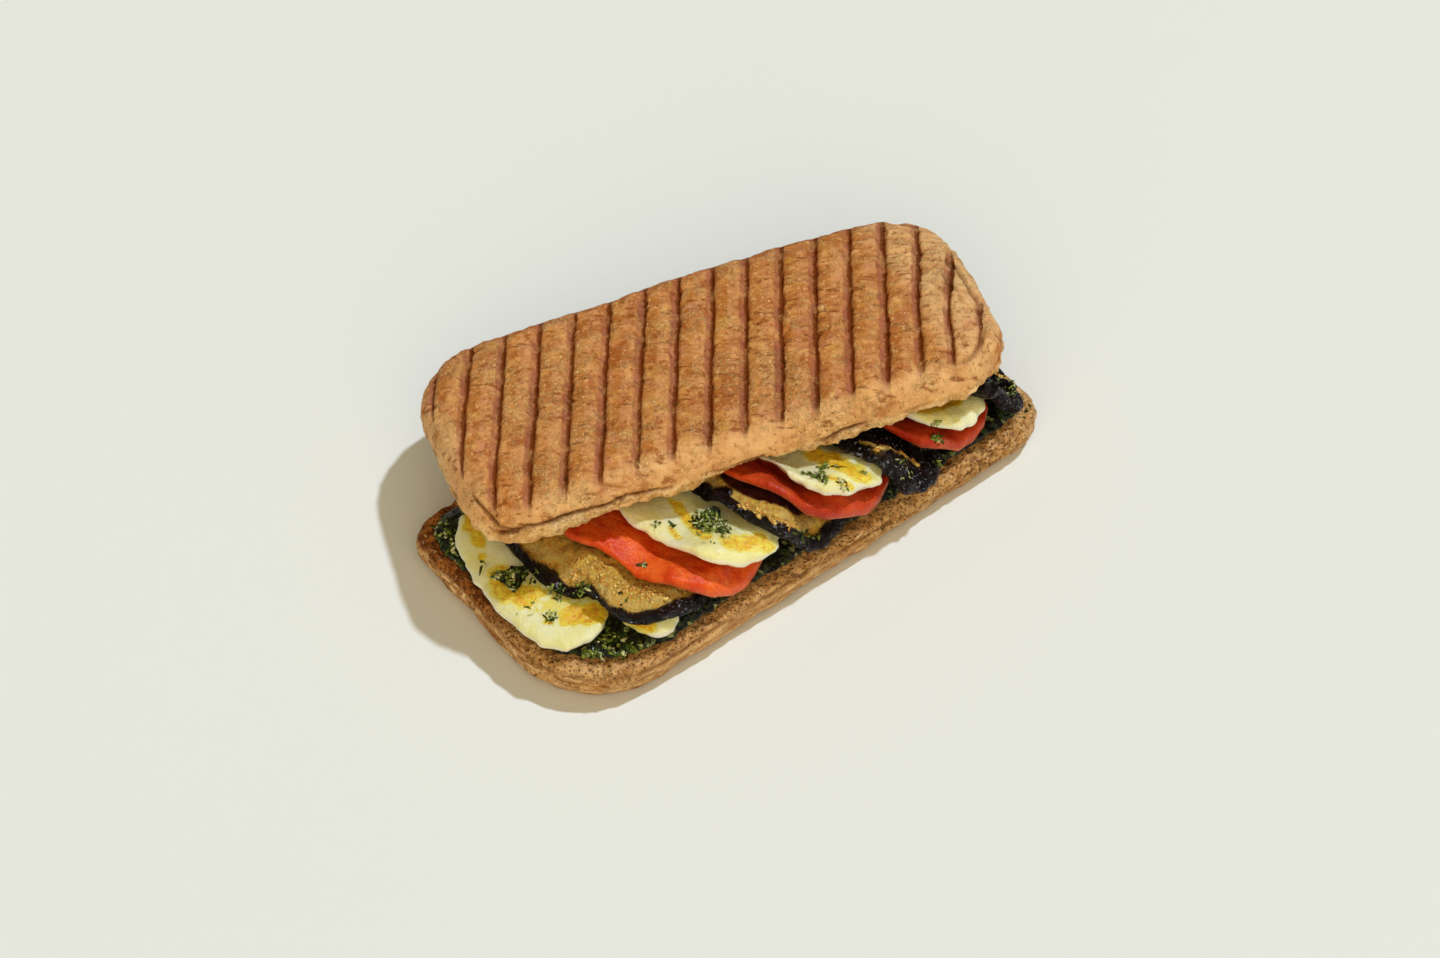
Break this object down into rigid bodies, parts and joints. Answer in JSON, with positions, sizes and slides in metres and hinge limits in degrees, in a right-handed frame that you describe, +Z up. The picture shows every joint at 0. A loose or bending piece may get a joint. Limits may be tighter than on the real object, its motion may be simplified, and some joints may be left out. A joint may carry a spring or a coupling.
{
  "type": "eggplant halloumi sandwich",
  "caption": "Pressed toasted long bread roll with grill marks, opened askew over overlapping slices of fried cheese, eggplant and tomato on green herb paste; lies flat.",
  "frame": {"origin": "centre of the bounding box seen from above, on the plane that the lower bread half lies on", "axes": "+X along the lower bread half, +Y from the open side with the filling towards the side where the upper half is set back, +Z up"},
  "size_m": [0.186, 0.118, 0.0494],
  "materials": {
    "crust": "baked crust of the upper half, golden brown with darker pressed grill marks",
    "crust_base": "toasted crust and crumb of the lower half, dry and rough",
    "pesto": "oily chopped dark green herbs",
    "halloumi": "cream white fried cheese with golden patches, moist",
    "eggplant": "golden fried flesh with near-black purple skin, oily",
    "tomato": "orange red flesh, wet"
  },
  "bodies": {
    "root": {"bread_base": "crust_base", "bread_lid": "crust", "pesto": "pesto", "halloumi_1": "halloumi", "halloumi_2": "halloumi", "halloumi_3": "halloumi", "halloumi_4": "halloumi", "halloumi_5": "halloumi", "eggplant_1": "eggplant", "eggplant_2": "eggplant", "eggplant_3": "eggplant", "eggplant_4": "eggplant", "tomato_1": "tomato", "tomato_2": "tomato", "tomato_3": "tomato", "herbs_1": "pesto", "herbs_2": "pesto"}
  },
  "joints": []
}
